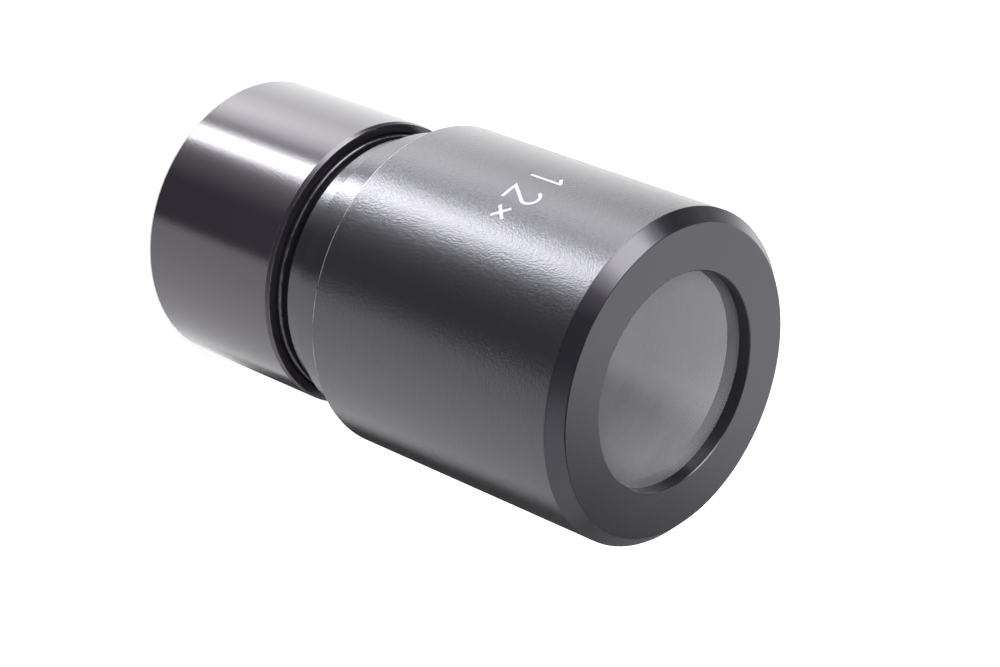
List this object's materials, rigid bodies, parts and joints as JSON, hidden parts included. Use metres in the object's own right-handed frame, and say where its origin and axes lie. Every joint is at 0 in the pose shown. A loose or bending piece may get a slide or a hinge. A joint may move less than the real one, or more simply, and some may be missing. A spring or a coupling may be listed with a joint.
{
  "type": "reticle eyepiece",
  "caption": "Microscope eyepiece: a black turned body with a chamfered eye end, a groove and a slim insertion barrel, with lenses, a field stop and a divided cross reticle inside.",
  "frame": {"origin": "centre of the open rear end of the insertion barrel, where the eyepiece stands", "axes": "+Z along the optical axis, from the open end of the barrel towards the eye"},
  "size_m": [0.0342, 0.0342, 0.0597],
  "materials": {
    "barrel_anodised": "smooth black anodised",
    "body_anodised": "fine-blasted black anodised",
    "cap_anodised": "satin black anodised",
    "inner_black": "matte black anodised",
    "flint_glass": "polished, coated",
    "crown_glass": "polished, coated",
    "scale_film": "dark evaporated film",
    "washer_plastic": "matte"
  },
  "bodies": {
    "root": {"insertion_barrel": "barrel_anodised", "body_shell": "body_anodised", "eye_cap": "cap_anodised", "lens_cell": "inner_black", "flint_element": "flint_glass", "crown_element": "crown_glass", "lens_spacer": "inner_black", "field_lens": "crown_glass", "field_stop": "inner_black", "reticle_glass": "crown_glass", "reticle_scale": "scale_film", "reticle_washer": "washer_plastic", "reticle_retaining_ring": "inner_black"}
  },
  "joints": []
}
